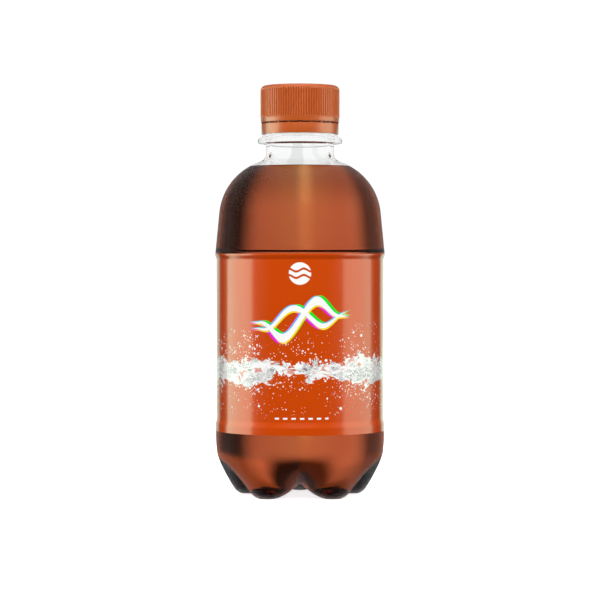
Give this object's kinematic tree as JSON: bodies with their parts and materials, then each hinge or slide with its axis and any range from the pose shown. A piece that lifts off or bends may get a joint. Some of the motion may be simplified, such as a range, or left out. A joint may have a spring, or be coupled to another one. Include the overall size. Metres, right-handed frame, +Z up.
{
  "type": "plastic soda bottle",
  "caption": "Clear plastic drink bottle, filled and unopened, with a petal-shaped footed base, a ribbed screw cap with seal liner and tamper band, and a sleeve label.",
  "frame": {"origin": "on the bottle's axis, in the plane that the feet stand on", "axes": "+Z up the axis towards the mouth; -Y is the front, where a valley of the base faces; a foot stands at +Y, at the back"},
  "size_m": [0.066, 0.0661, 0.1591],
  "materials": {
    "pet_clear": "clear blown PET, glossy",
    "cola": "reddish brown drink, clear against the light",
    "label_film": "glossy printed shrink film",
    "cap_plastic": "moulded polypropylene, satin gloss",
    "liner_plastic": "soft white seal liner"
  },
  "bodies": {
    "bottle": {"bottle": "pet_clear", "drink": "cola", "label_sleeve": "label_film"},
    "liner": {"cap_liner": "liner_plastic"},
    "cap": {"cap_shell": "cap_plastic"},
    "tamper_band": {"tamper_band": "cap_plastic", "tamper_bridges": "cap_plastic"}
  },
  "joints": [
    {"name": "cap_rise", "type": "slide", "parent": "bottle", "child": "liner", "axis": [0, 0, 1], "range_m": [0, 0.01432]},
    {"name": "cap_turn", "type": "hinge", "parent": "liner", "child": "cap", "pos_m": [0, 0, 0.1448], "axis": [0, 0, 1], "range_deg": [0, 1620]},
    {"name": "band_spin", "type": "hinge", "parent": "bottle", "child": "tamper_band", "pos_m": [0, 0, 0.1402], "axis": [0, 0, 1], "continuous": true}
  ],
  "couplings": [
    {"joint": "cap_rise", "follows": "cap_turn", "m_per_rad": 0.00050611}
  ]
}
